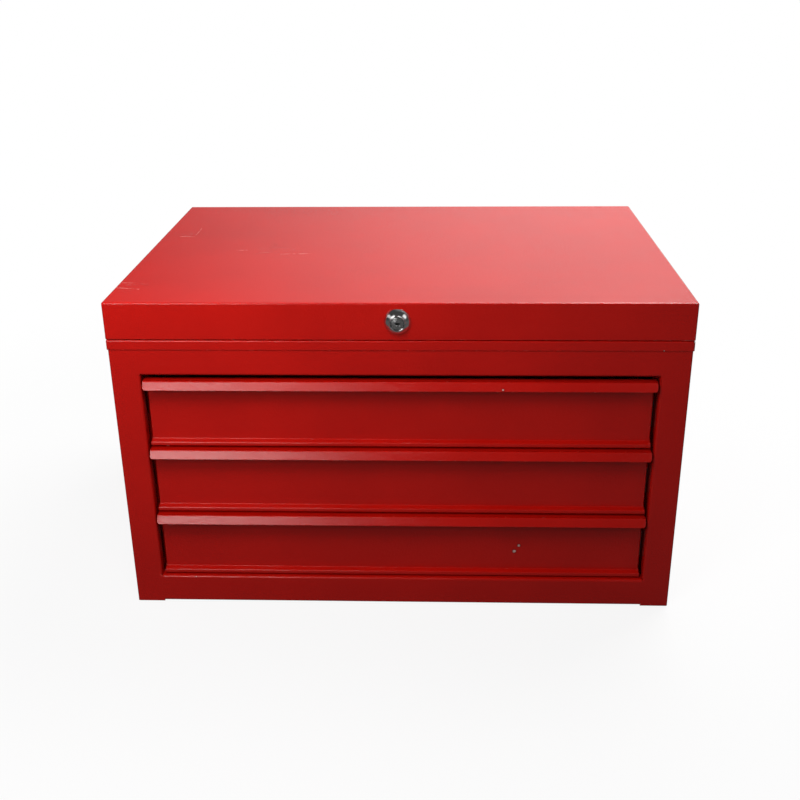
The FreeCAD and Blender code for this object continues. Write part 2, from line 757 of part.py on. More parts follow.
def drawer_front(index):
    """Folded drawer front: a beaded lower edge, a recessed panel and a full-width finger lip."""
    low = drawer_low(index)
    high = low + drawer_pitch - drawer_gap
    middle = front_sheet / 2
    panel_y = wall_front + panel_recess + middle
    bead_y = wall_front + bead_recess + middle
    bead_top = low + bead_height
    strip_z = high - middle
    lip_low = strip_z - lip_drop
    profile = [(bead_y + bead_return, low + middle), (bead_y, low + middle), (bead_y, bead_top),
               (panel_y, bead_top + bead_rise), (panel_y, strip_z), (wall_front - lip_bend_reach, strip_z),
               (wall_front - lip_reach, lip_low)]
    bends = [fold_radius] * (len(profile) - 2)
    half = opening_half - lip_side_gap
    body = folded(profile, bends, front_sheet, side_view(-half), Vector(2 * half, 0, 0))

    panel_half = opening_half - front_side_gap
    bend_outer = fold_radius + middle
    panel_low = bead_top + bead_rise + bend_outer
    panel_high = high - front_sheet - bend_outer
    lip_front = wall_front - lip_reach - overrun
    lip_back = wall_front - lip_bend_reach
    far = drawer_front_y + overrun
    for end in (-1, 1):
        beyond = end * (half + overrun)
        bend_start = end * (panel_half - bend_outer)
        narrow = block(end * panel_half, beyond, lip_back, far, low - overrun, panel_high)
        bend_space = block(bend_start, beyond, panel_y - front_sheet, far, panel_low, panel_high)
        corner_x = end * (half - lip_corner)
        corner_z = lip_low + lip_corner
        corner = block(corner_x, beyond, lip_front, lip_back, lip_low - overrun, corner_z)
        rounding = Part.makeCylinder(lip_corner, lip_back - lip_front, Vector(corner_x, lip_front, corner_z),
                                     Vector(0, 1, 0))
        side_x = end * (panel_half - middle)
        section = [(bend_start, panel_y), (side_x, panel_y), (side_x, panel_y + front_return)]
        height = Vector(0, 0, panel_high - panel_low)
        side_return = folded(section, [fold_radius], front_sheet, plan(panel_low), height)
        body = body.cut(narrow).cut(bend_space).cut(corner.cut(rounding)).fuse(side_return)
    wide = half + overrun
    strip_front = lip_back + bend_outer
    lip = block(-wide, wide, lip_front, strip_front, low, high + overrun)
    strip = block(-wide, wide, strip_front, far, panel_high, high + overrun)
    ends = [block(end * (panel_half - bend_outer), end * wide, lip_front, far + front_return, low, high)
            for end in (-1, 1)]
    return Part.makeCompound(parted(body.removeSplitter(), [lip, strip] + ends))


def catch_level(index):
    """Top face of the catch behind a drawer, which the lock rod's hook drops into."""
    return drawer_low(index) + drawer_lift + drawer_wall - drawer_hem


def drawer_tray(index):
    """Wall all round with a rolled upper edge, on a floor sheet, and the lock rod's catch behind it."""
    low = drawer_low(index) + drawer_lift
    floor_z = low + tray_sheet
    high = low + drawer_wall
    outer_y = (drawer_front_y, drawer_back_y)
    inner_y = (drawer_front_y + tray_sheet, drawer_back_y - tray_sheet)
    inner_radius = drawer_corner - tray_sheet / 2
    outer = rounded_box(drawer_half, *outer_y, floor_z, high, drawer_corner)
    hollow = rounded_box(drawer_half - tray_sheet, *inner_y, low, high + overrun, inner_radius)
    roll = rounded_box(drawer_half - tray_sheet, *inner_y, high - drawer_hem, high, inner_radius)
    core_y = (drawer_front_y + 2 * tray_sheet, drawer_back_y - 2 * tray_sheet)
    core_z = (high - drawer_hem - overrun, high + overrun)
    core = rounded_box(drawer_half - 2 * tray_sheet, *core_y, *core_z, inner_radius)
    ends = [block(end * (drawer_half - drawer_corner), end * (drawer_half + overrun), *outer_y, low, high)
            for end in (-1, 1)]
    walls = parted(fused([outer.cut(hollow), roll.cut(core)]), ends)
    floor = rounded_box(drawer_half, *outer_y, low, floor_z, drawer_corner)

    level = catch_level(index)
    middle = rod_x + rod_width / 2
    catch = block(middle - catch_width / 2, middle + catch_width / 2,
                  drawer_back_y, drawer_back_y + catch_reach, level - tray_sheet, level)
    slot = block(rod_x - catch_slot_margin, rod_x + rod_width + catch_slot_margin,
                 hook_tip_y - catch_slot_margin, hook_tip_y + rod_sheet + catch_slot_margin,
                 level - overrun, level + overrun)
    return Part.makeCompound(walls + [floor, catch.cut(slot)])


# Rails: a fixed channel on the uprights, a middle channel in it, and a third on the drawer.
def rail(side, web_outer, tip, outer_height, length, level):
    """Channel along Y with its web's outer face at one x and its flange tips at the other."""
    middle = rail_sheet / 2
    web = web_outer - math.copysign(middle, web_outer - tip)
    reach = outer_height / 2 - middle
    section = [(tip, level + reach), (web, level + reach), (web, level - reach), (tip, level - reach)]
    bends = [rail_sheet, rail_sheet]
    channel = folded(section, bends, rail_sheet, front_view(rail_front), Vector(0, length, 0))
    return mirrored(channel, side)


def rail_set(index, side):
    """Fixed, middle and drawer channels of one side of one drawer."""
    level = drawer_low(index) + rail_centre
    fixed_web = opening_half
    drawer_web = drawer_half
    middle_web = fixed_web - rail_sheet - rail_web_gap
    middle_height = rail_height - 2 * (rail_sheet + rail_running_gap)
    drawer_height = middle_height - 2 * (rail_sheet + rail_running_gap)
    fixed_tip = drawer_web + rail_sheet + rail_tip_gap
    middle_tip = fixed_tip
    drawer_tip = middle_web - rail_sheet - rail_web_gap
    return (rail(side, fixed_web, fixed_tip, rail_height, rail_length, level),
            rail(side, middle_web, middle_tip, middle_height, rail_length - middle_rail_setback, level),
            rail(side, drawer_web, drawer_tip, drawer_height, rail_length, level))


# Carrying handles: a riveted plate with two ears on each side, and a loop of round bar.
pivot_x = wall_x + plate_sheet + pivot_reach
pivot_z = handle_height + pivot_drop


def handle_plate(side):
    base = block(wall_x, wall_x + plate_sheet, mid_y - plate_length / 2, mid_y + plate_length / 2,
                 handle_height - plate_height / 2, handle_height + plate_height / 2)
    base = round_edges(base, plate_radius, lambda box: box.YLength < sheet / 2 and box.ZLength < sheet / 2)
    pieces = [base]
    for end in (-1, 1):
        y = mid_y + end * ear_spacing / 2
        tip = wall_x + plate_sheet + ear_reach
        ear = block(wall_x + plate_sheet, tip, y - ear_sheet / 2, y + ear_sheet / 2,
                    pivot_z - ear_height / 2, pivot_z + ear_height / 2)
        corner = ear_height / 3
        ear = round_edges(ear, corner, lambda box: box.XMin > tip - corner and box.ZLength < sheet / 2)
        pieces.append(ear)
    start = Vector(pivot_x, mid_y - plate_length / 2, pivot_z)
    bore = Part.makeCylinder(bail_radius + running_clearance, plate_length, start, Vector(0, 1, 0))
    body = fused(pieces).cut(bore).cut(fused(rivet_holes(handle_rivets(1))))
    return mirrored(body, side)


def bail(side):
    """Loop of round bar, hanging from its two turned-out ends."""
    end_y = ear_spacing / 2 + ear_sheet / 2 + bail_end_reach
    leg_y = bail_width / 2
    low = pivot_z - bail_drop
    path = [(-end_y, pivot_z), (-leg_y, pivot_z), (-leg_y, low),
            (leg_y, low), (leg_y, pivot_z), (end_y, pivot_z)]
    radii = [bail_bend / 2, bail_bend, bail_bend, bail_bend / 2]
    edges = []
    for kind, spots in fold_offset(path, radii, 0):
        at = [Vector(pivot_x, mid_y + spot.real, spot.imag) for spot in spots]
        edges.append(Part.makeLine(at[0], at[1]) if kind == "line" else Part.Arc(*at).toShape())
    spine = Part.Wire(edges)
    start = Vector(pivot_x, mid_y - end_y, pivot_z)
    ring = Part.Wire(Part.makeCircle(bail_radius, start, Vector(0, 1, 0)))
    return mirrored(spine.makePipeShell([ring], True, False), side)


# Drawer lock rod: a flat bar at the back with a hook over each drawer's catch.
rod_back_y = inner_back - rod_setback
hook_tip_y = rod_back_y - rod_sheet - hook_rod_reach
rod_top = rim_top - rod_top_gap


def lock_rod():
    x_range = (rod_x, rod_x + rod_width)
    bar = block(*x_range, rod_back_y - rod_sheet, rod_back_y, rod_foot, rod_top)
    pad = block(*x_range, rod_back_y - pad_reach, rod_back_y, rod_top - rod_sheet, rod_top)
    pieces = [bar, pad]
    for index in range(len(drawer_names)):
        tip_low = catch_level(index) + catch_gap
        arm_low = tip_low + hook_drop
        pieces.append(block(*x_range, hook_tip_y, rod_back_y, arm_low, arm_low + rod_sheet))
        pieces.append(block(*x_range, hook_tip_y, hook_tip_y + rod_sheet, tip_low, arm_low))
    foot_end = rod_back_y + 2 * spring_radius
    foot = block(*x_range, rod_back_y - rod_sheet, foot_end, rod_foot, rod_foot + rod_sheet)
    return fused(pieces + [foot])


def lock_rod_guides():
    """Two folded brackets on the back panel that the bar slides in."""
    x_low = rod_x - rod_clearance
    x_high = rod_x + rod_width + rod_clearance
    y_near = rod_back_y - rod_sheet - rod_clearance
    wing = guide_sheet + guide_wing
    guides = []
    for z in (guide_low, guide_high):
        top = z + guide_height
        shell = block(x_low - guide_sheet, x_high + guide_sheet, y_near - guide_sheet, inner_back, z, top)
        inside = block(x_low, x_high, y_near, inner_back, z - overrun, top + overrun)
        wings = block(x_low - wing, x_high + wing, inner_back - guide_sheet, inner_back, z, top)
        guides.append(fused([shell.cut(inside), wings]))
    return guides


def spring_bracket():
    """Seat below the rod's foot for the return spring."""
    near = rod_back_y - rod_sheet
    low = rod_foot - spring_seat
    seat = block(rod_x, rod_x + rod_width, near, inner_back, low - guide_sheet, low)
    wall = block(rod_x, rod_x + rod_width, inner_back - guide_sheet, inner_back, low, low + guide_height)
    return fused([seat, wall])


def lock_rod_spring():
    low = rod_foot - spring_seat
    pitch = (spring_seat - 2 * spring_wire) / spring_turns
    centre_y = rod_back_y + spring_radius
    helix = Part.makeHelix(pitch, spring_seat - 2 * spring_wire, spring_radius - spring_wire)
    ring = Part.Wire(Part.makeCircle(spring_wire, Vector(spring_radius - spring_wire, 0, 0), Vector(0, 1, 0)))
    coil = Part.Wire(helix).makePipeShell([ring], True, True)
    coil.translate(Vector(rod_x + rod_width / 2, centre_y, low + spring_wire))
    return coil


def lid_rod_presser():
    """Bracket on the hem at the lid's rear, stepped forward and down to a foot over the rod's top."""
    middle = presser_sheet / 2
    rear = inner_back - middle
    level = lid_low + presser_rise + middle
    foot_y = rod_back_y - pad_reach / 2
    section = [(rear, lid_low + lid_hem), (rear, level), (foot_y, level), (foot_y, rod_top + presser_gap)]
    centre_x = rod_x + rod_width / 2
    bends = [presser_sheet, presser_sheet]
    sweep = Vector(presser_width, 0, 0)
    return folded(section, bends, presser_sheet, side_view(centre_x - presser_width / 2), sweep)


os.makedirs("parts", exist_ok=True)

for name, side in sides:
    save(name + "_side_panel", side_panel(side))
    save(name + "_front_upright", upright(side, wall_front + upright_inset))
    save(name + "_rear_upright", upright(side, rail_front + rail_length - upright_width - rail_rear_margin))
    save(name + "_handle_plate", handle_plate(side))
    save(name + "_handle_bail", bail(side))
    save(name + "_stay_lower_link", stay_lower_link(side))
    save(name + "_stay_upper_link", stay_upper_link(side))
save("front_top_rail", front_top_rail())
save("bottom_pan", bottom_pan())
save("back_panel", back_panel())
save("top_tray", top_tray())
save("lid_shell", lid_shell())
save("lid_brace", lid_brace())
save("hinge_body_leaf", hinge_leaf_shape(False))
save("hinge_lid_leaf", hinge_leaf_shape(True))
save("hinge_pin", hinge_pin())
save("lock_body", lock_body())
save("lock_plug", lock_plug())
save("lock_nut", lock_nut())
save("lock_cam", lock_cam())
save("lock_cam_screw", cam_screw())
save("lock_striker", lock_striker())
save("lid_rod_presser", lid_rod_presser())
save("drawer_lock_rod", lock_rod())
save("drawer_lock_guides", Part.makeCompound(lock_rod_guides() + [spring_bracket()]))
save("drawer_lock_spring", lock_rod_spring())
for index, name in enumerate(drawer_names):
    save(name + "_drawer_front", drawer_front(index))
    save(name + "_drawer_tray", drawer_tray(index))
    for side_name, side in sides:
        fixed_part, middle_part, drawer_part = rail_set(index, side)
        save(name + "_" + side_name + "_fixed_rail", fixed_part)
        save(name + "_" + side_name + "_middle_rail", middle_part)
        save(name + "_" + side_name + "_drawer_rail", drawer_part)
body_rivets = body_hinge_rivets() + handle_rivets(-1) + handle_rivets(1)
save("body_rivets", Part.makeCompound([rivet(*spot) for spot in body_rivets] + stay_pivots("tray")))
save("lid_rivets", Part.makeCompound([rivet(*spot) for spot in lid_hinge_rivets()] + stay_pivots("lid")))
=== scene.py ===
import json
import math

import bpy
import numpy as np
from mathutils import Matrix, Vector


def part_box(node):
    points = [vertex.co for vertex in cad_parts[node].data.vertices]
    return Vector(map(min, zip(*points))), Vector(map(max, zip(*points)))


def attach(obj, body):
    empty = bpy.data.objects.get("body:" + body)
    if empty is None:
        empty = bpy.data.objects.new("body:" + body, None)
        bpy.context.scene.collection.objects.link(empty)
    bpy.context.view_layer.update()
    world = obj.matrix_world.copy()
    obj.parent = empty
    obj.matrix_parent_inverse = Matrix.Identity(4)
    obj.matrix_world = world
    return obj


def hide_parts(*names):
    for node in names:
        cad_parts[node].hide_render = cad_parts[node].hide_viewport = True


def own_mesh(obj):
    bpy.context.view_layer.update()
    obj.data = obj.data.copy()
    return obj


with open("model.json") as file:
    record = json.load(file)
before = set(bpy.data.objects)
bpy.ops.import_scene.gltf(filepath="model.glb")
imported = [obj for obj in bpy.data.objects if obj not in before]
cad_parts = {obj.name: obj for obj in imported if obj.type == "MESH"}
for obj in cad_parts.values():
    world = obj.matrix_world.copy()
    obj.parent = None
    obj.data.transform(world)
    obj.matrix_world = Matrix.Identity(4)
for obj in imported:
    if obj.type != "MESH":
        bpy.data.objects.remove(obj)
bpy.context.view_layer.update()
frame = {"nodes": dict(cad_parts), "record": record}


# Cabinet. Side walls of 1 mm steel sheet, each bent round the front corner into a post, a top rail, a
# floor pan whose front is the bottom rail, and a flat back. The sheets are spot-welded together and
# then powder-coated red in one go, so the coat carries on across every joint.
class Wire:
    """A socket in a node tree. Sums, products and powers of wires and numbers add Math nodes."""

    def __init__(self, tree, socket=None):
        self.tree = tree
        self.socket = socket

    def node(self, kind, settings=None, inputs=None, output=0):
        """Adds any node: its settings are set first, then its sockets get values or links."""
        made = self.tree.nodes.new(kind)
        for name, value in (settings or {}).items():
            setattr(made, name, value)
        for key, value in (inputs or {}).items():
            if isinstance(value, Wire):
                self.tree.links.new(value.socket, made.inputs[key])
            else:
                made.inputs[key].default_value = value
        return Wire(self.tree, made.outputs[output])

    def math(self, operation, first, second=0.0):
        return self.node("ShaderNodeMath", {"operation": operation}, {0: first, 1: second})

    def vectors(self, operation, first, second, output=0):
        """Adds a Vector Math node: its output 0 is a vector and its output 1 a number."""
        return self.node("ShaderNodeVectorMath", {"operation": operation}, {0: first, 1: second}, output)

    def __add__(self, other):
        return self.math("ADD", self, other)

    __radd__ = __add__

    def __sub__(self, other):
        return self.math("SUBTRACT", self, other)

    def __rsub__(self, other):
        return self.math("SUBTRACT", other, self)

    def __mul__(self, other):
        return self.math("MULTIPLY", self, other)

    __rmul__ = __mul__

    def __truediv__(self, other):
        return self.math("DIVIDE", self, other)

    def __pow__(self, other):
        return self.math("POWER", self, other)

    def __abs__(self):
        return self.math("ABSOLUTE", self)

    def parts(self):
        """The x, y and z of a vector."""
        x = self.node("ShaderNodeSeparateXYZ", {}, {0: self})
        return [Wire(self.tree, socket) for socket in x.socket.node.outputs]

    def step(self, low, high):
        """Rises smoothly from 0 at low to 1 at high; falls where low is above high."""
        rising = low < high
        ends = {"From Min": min(low, high), "From Max": max(low, high)}
        ends.update({"To Min": 0.0 if rising else 1.0, "To Max": 1.0 if rising else 0.0})
        return self.node("ShaderNodeMapRange", {"interpolation_type": "SMOOTHSTEP"}, {"Value": self, **ends})

    def blend(self, first, second):
        """Colour between two others, this wire being how much of the second there is."""
        return self.node("ShaderNodeMix", {"data_type": "RGBA"}, {0: self, 6: first, 7: second}, 2)

    def noise(self, scale, detail=2.0, stretch=(1, 1, 1), turn=0.0):
        """Cloudy noise about 0.5, on coordinates that are stretched and turned about the upright."""
        scales = [scale * share for share in stretch]
        inputs = {"Vector": self, "Scale": scales, "Rotation": (0, 0, turn)}
        placed = self.node("ShaderNodeMapping", {}, inputs)
        return self.node("ShaderNodeTexNoise", {}, {"Vector": placed, "Scale": 1.0, "Detail": detail})

    def raised(self, distance, strength=1.0, under=None):
        """Bumps by this height, in metres at 1, over another bumped normal."""
        sockets = {"Strength": strength, "Distance": distance, "Height": self}
        if under:
            sockets["Normal"] = under
        return self.node("ShaderNodeBump", {}, sockets)


def material_on(name, **fixed):
    """New material with fixed values in its shader. Gives its object coordinates as a wire, and a way to
    feed wires to the shader's other sockets, which returns the material."""
    material = bpy.data.materials.new(name)
    material.use_nodes = True
    tree = material.node_tree
    shader = tree.nodes["Principled BSDF"]

    def socket(key):
        return shader.inputs[key.replace("_", " ")]

    for key, value in fixed.items():
        socket(key).default_value = value

    def feed(**wires):
        for key, wire in wires.items():
            tree.links.new(wire.socket, socket(key))
        return material

    return Wire(tree).node("ShaderNodeTexCoord", output="Object"), feed


def distance(place, point):
    """Straight distance from a point, which is a wire or three numbers."""
    return place.vectors("DISTANCE", place, point, 1)


def bends(place, joints):
    """The normal, turned smoothly over the bends of the sheet, and where those bends are: 1 on a sharp
    edge and 0 on flat sheet. Joints are upright welds, (x, lowest z, highest z), that are ground flush,
    so the normal stays flat across them."""
    bend_radius = 0.0011
    normal = place.node("ShaderNodeBevel", {"samples": 4}, {"Radius": bend_radius})
    flat = place.node("ShaderNodeNewGeometry", output="Normal")
    for joint_x, low, high in joints:
        x, _, z = place.parts()
        within = z.step(low, low + 0.001) * z.step(high, high - 0.001)
        ground = abs(x - joint_x).step(0.003, 0.0015) * within
        normal = place.node("ShaderNodeMix", {"data_type": "VECTOR"}, {0: ground, 4: normal, 5: flat}, 1)
    return normal, place.vectors("DOT_PRODUCT", normal, flat, 1).step(0.985, 0.80)


def weld_row(sideways, upwards, line):
    """Rows of round dimples on two upright lines, left and right of the middle: 1 in a dimple and 0
    outside. The height within each pitch is the fraction of height over pitch, less a half."""
    pitch, rim, hollow = 0.052, 0.0028, 0.0012
    beside = abs(sideways) - line
    share = upwards / pitch
    above = (share.math("FRACT", share) - 0.5) * pitch
    return ((beside * beside + above * above) ** 0.5).step(rim, hollow)


def weld_dimples(place):
    """Dimples of the welds that hold the uprights and the back panel. They only show on the outer face
    of the sheet, so each row fades out within its thickness."""
    x, y, z = place.parts()
    front, rear = [(low.y + high.y) / 2 for low, high in upright_boxes]
    flange_middle = 0.010
    on_walls = weld_row(y - (front + rear) / 2, z, (rear - front) / 2)
    on_back = weld_row(x, z, wall_face - flange_middle)
    return (on_walls * abs(x).step(wall_face - 0.0010, wall_face - 0.0004)
            + on_back * y.step(back_face - 0.0010, back_face - 0.0004))


def fine_scratches(place, scuffs):
    """Fine scratches in two directions that gather about the scuffs, which are (point, reach) pairs."""
    lines = place.noise(1, 3, (14, 1500, 14), 0.09).step(0.62, 0.70)
    crossing = place.noise(1, 2, (22, 1300, 22), -0.25).step(0.66, 0.74)
    broken = place.noise(55, 3).step(0.48, 0.62)
    worn = 0.0
    for point, reach in scuffs:
        worn = distance(place, point).step(reach, reach * 0.4) + worn
    return lines.math("MAXIMUM", lines, crossing) * broken * worn


def long_scratch(place, start, end):
    """One wavering, broken scratch between two points. Its distance from a place: the share of the way
    along it that lies nearest is the dot product with the run over the run squared, kept from 0 to 1."""
    run = Vector(end) - Vector(start)
    reach = place.vectors("SUBTRACT", place, start)
    share = place.vectors("DOT_PRODUCT", reach, tuple(run / run.length_squared), 1)
    share = share.math("MINIMUM", share.math("MAXIMUM", share, 0.0), 1.0)
    nearest = place.node("ShaderNodeVectorMath", {"operation": "SCALE"}, {0: tuple(run), "Scale": share})
    waver = 0.0012 * (place.noise(120, 2) - 0.5)
    return (distance(reach, nearest) + waver).step(0.0007, 0.0003) * place.noise(260, 3).step(0.38, 0.55)


def chip(place, point, radius):
    """A flake off the coat with a ragged outline: where it is bare, and where its broken rim is."""
    ragged = distance(place, point) + 0.7 * radius * (place.noise(900, 2) - 0.5)
    bare = ragged.step(radius * 1.05, radius * 0.80)
    return bare, ragged.step(radius * 1.9, radius * 1.2) * (1 - bare)


deep_red = (0.500, 0.0052, 0.0024, 1)
light_red = (0.545, 0.0060, 0.0028, 1)
thin_red = (0.62, 0.022, 0.014, 1)
rubbed_red = (0.66, 0.20, 0.16, 1)
scuffed_red = (0.70, 0.24, 0.20, 1)
scratched_red = (0.80, 0.36, 0.32, 1)
broken_red = (0.16, 0.003, 0.002, 1)
pale_primer = (0.74, 0.50, 0.46, 1)


def red_coat(name, chips=(), scuffs=(), scratches=(), joints=(), dimples=False):
    """Glossy red powder coat with a fine orange peel over slightly wavy sheet, thin and rubbed along its
    edges. Chips are (point, radius) pairs that show pale primer. Scuffs are (point, reach) pairs, and
    scratches single long ones, (start, end). Joints are the flush welds, and dimples the spot welds."""
    place, feed = material_on(name, Specular_IOR_Level=0.5, IOR=1.5)
    cloud = place.noise(9, 3)
    peel = place.noise(430, 2)
    grain = place.noise(1700, 1)
    normal, edge = bends(place, joints)
    rubbed = edge * place.noise(160, 4).step(0.50, 0.72)
    colour = cloud.step(0.3, 0.7).blend(deep_red, light_red)
    colour = (edge * 0.35).blend(colour, thin_red)
    colour = (rubbed * 0.55).blend(colour, rubbed_red)
    rough = 0.12 + 0.06 * cloud + 0.04 * peel + 0.15 * rubbed
    height = peel + 0.35 * grain
    if dimples:
        height = height - 1.6 * weld_dimples(place)
    if scuffs:
        worn = fine_scratches(place, scuffs)
        colour = (worn * 0.6).blend(colour, scuffed_red)
        rough = rough + 0.2 * worn
        height = height - 1.5 * worn
    for start, end in scratches:
        cut = long_scratch(place, start, end)
        colour = (cut * 0.55).blend(colour, scratched_red)
        rough = rough + 0.2 * cut
    for point, radius in chips:
        bare, rim = chip(place, point, radius)
        colour = (rim * 0.6).blend(colour, broken_red)
        colour = bare.blend(colour, pale_primer)
        rough = rough + 0.3 * bare
        height = height - 3.0 * bare
    sagging = (place.noise(7, 1) + 0.25 * place.noise(26, 1)).raised(0.0003, 0.5, normal)
    return feed(Base_Color=colour, Roughness=rough, Normal=height.raised(0.0003, 0.9, sagging))


def coat(material, *names):
    """Puts one material on nodes of the frame."""
    for name in names:
        frame["nodes"][name].data.materials.clear()
        frame["nodes"][name].data.materials.append(material)


both = ("left", "right")
levels = ("bottom", "middle", "top")
wall_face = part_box("right_side_panel")[1].x
back_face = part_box("back_panel")[1].y
upright_boxes = [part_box("right_front_upright"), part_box("right_rear_upright")]
rail_low, rail_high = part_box("front_top_rail")
pan_low, pan_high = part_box("bottom_pan")
# The rails meet the posts in flush joints, but keep their rounded edge in the last 1.5 mm at the doorway.
doorway_edge, past_the_top = 0.0015, 0.005
joint_heights = ((rail_low.z + doorway_edge, rail_high.z + past_the_top),
                 (pan_low.z, pan_high.z - doorway_edge))
post_joints = [(x, *heights) for x in (rail_low.x, rail_high.x) for heights in joint_heights]
bottom_rail_chips = [((-0.2457, -0.2275, 0.0345), 0.0010)]
cabinet_coat = red_coat("cabinet_powder_coat", chips=bottom_rail_chips, joints=post_joints, dimples=True)
coat(cabinet_coat, "left_side_panel", "right_side_panel", "front_top_rail", "bottom_pan", "back_panel")


# Uprights and slides. Two uprights a side are welded to the walls and coated with them. The slides are
# channels of zinc-plated steel: one fixed to the uprights, one running in it, one riveted to the drawer.
def plated_steel(name):
    """Bright zinc plate: pale blue-grey metal with soft crystal patches, rolling lines and rubbed spots."""
    place, feed = material_on(name, Metallic=1.0)
    crystal = place.node("ShaderNodeTexVoronoi", {}, {"Vector": place, "Scale": 260.0}, "Color")
    patch = place.node("ShaderNodeSeparateColor", {}, {0: crystal})
    rolled = place.noise(1, 3, (900, 6, 900))
    dull = place.noise(22, 3).step(0.42, 0.7)
    grey_zinc, pale_zinc, dull_zinc = (0.50, 0.52, 0.53, 1), (0.62, 0.63, 0.62, 1), (0.36, 0.37, 0.36, 1)
    colour = (dull * 0.45).blend(patch.blend(grey_zinc, pale_zinc), dull_zinc)
    rough = 0.26 + 0.14 * dull + 0.10 * rolled
    return feed(Base_Color=colour, Roughness=rough, Normal=(rolled + 0.4 * patch).raised(0.00003, 0.4))


zinc = plated_steel("zinc_plate")
for side in both:
    coat(cabinet_coat, side + "_front_upright", side + "_rear_upright")
    for level in levels:
        for part in ("fixed", "middle", "drawer"):
            coat(zinc, f"{level}_{side}_{part}_rail")


# Top tray. A pan folded from coated sheet whose rim turns out over the cabinet's walls, with the lock's
# striker welded inside its front wall. Tools drag over its floor, so the coat is dulled there.
tray_sheet = 0.0008
tray_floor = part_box("top_tray")[0].z + tray_sheet
rim_chips = [((0.3203, -0.2284, 0.3358), 0.0020), ((0.2872, -0.2284, 0.3252), 0.0008)]
dulled = ((-0.16, 0.02, 0.12), (0.13, 0.06, 0.15), (0.02, -0.08, 0.10))
tray_scuffs = [((x, y, tray_floor), reach) for x, y, reach in dulled]
coat(red_coat("tray_powder_coat", chips=rim_chips, scuffs=tray_scuffs), "top_tray", "lock_striker")


# Drawers. Each front is one folded sheet with a beaded foot, a recessed panel and a full-width finger
# lip, welded to a tray. The lowest panel and the top lip have lost small flakes of coat.
panel_chips = [((0.1404, -0.2171, 0.0753), 0.0016), ((0.1351, -0.2171, 0.0674), 0.0019)]
lip_chips = [((0.1151, -0.2330, 0.2810), 0.0011)]
for level, chips in zip(levels, (panel_chips, (), lip_chips)):
    coat(red_coat(level + "_drawer_coat", chips), level + "_drawer_front", level + "_drawer_tray")


# Lid. A shallow box of the same coated sheet, hemmed round its lower edge, with a hat-section
# stiffener spot-welded under its top. Its top left has the scratches of things slid across it.
lid_low, lid_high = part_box("lid_shell")
scuffed = ((-0.280, 0.078, 0.028), (-0.308, -0.165, 0.030), (-0.160, -0.017, 0.045))
scratched = (((-0.298, 0.057), (-0.279, 0.056)), ((-0.278, 0.064), (-0.278, 0.099)),
             ((-0.210, -0.013), (-0.196, -0.012)), ((-0.152, -0.031), (-0.115, -0.029)),
             ((-0.317, -0.154), (-0.302, -0.155)), ((-0.318, -0.173), (-0.291, -0.179)))
lid_scuffs = [((x, y, lid_high.z), reach) for x, y, reach in scuffed]
lid_scratches = [[(x, y, lid_high.z) for x, y in ends] for ends in scratched]
lid_coat = red_coat("lid_powder_coat", scuffs=lid_scuffs, scratches=lid_scratches)
coat(lid_coat, "lid_shell", "lid_brace")


# Hinge, stays and their rivets. A long piano hinge on a wire pin, riveted to the back and to the lid's
# skirt, and two folding stays of flat bar on pins in the side walls of cabinet and lid, all of plated
# steel.
coat(zinc, "hinge_body_leaf", "hinge_lid_leaf", "hinge_pin")
for side in both:
    coat(zinc, side + "_stay_lower_link", side + "_stay_upper_link")


def rounded(corners, radii, steps=8):
    """Flat path with its corners rounded. Each corner becomes an arc that meets both sides smoothly: its
    ends lie radius x tan(half the turn) before and after the corner, and the points between swing from
    one end to the other about the arc's centre, in equal angles. A corner of radius 0 stays a point."""
    corner = np.array(corners, float)
    radius = np.array(radii, float)[:, None]
    before = np.roll(corner, 1, axis=0) - corner
    after = np.roll(corner, -1, axis=0) - corner
    before /= np.linalg.norm(before, axis=1, keepdims=True)
    after /= np.linalg.norm(after, axis=1, keepdims=True)
    turn = np.pi - np.arccos(np.clip((before * after).sum(1, keepdims=True), -1, 1))
    turn = np.maximum(turn, 1e-6)
    start = corner + before * radius * np.tan(turn / 2)
    end = corner + after * radius * np.tan(turn / 2)
    inward = before + after
    inward /= np.maximum(np.linalg.norm(inward, axis=1, keepdims=True), 1e-9)
    centre = corner + inward * radius / np.cos(turn / 2)
    share = np.linspace(0, 1, steps + 1)[None, :, None]
    swing = turn[:, :, None]
    path = centre[:, None] + (np.sin((1 - share) * swing) * (start - centre)[:, None]
                              + np.sin(share * swing) * (end - centre)[:, None]) / np.sin(swing)
    kept = (share[:, :, 0] == 0) | (radius > 0)
    return path[kept]


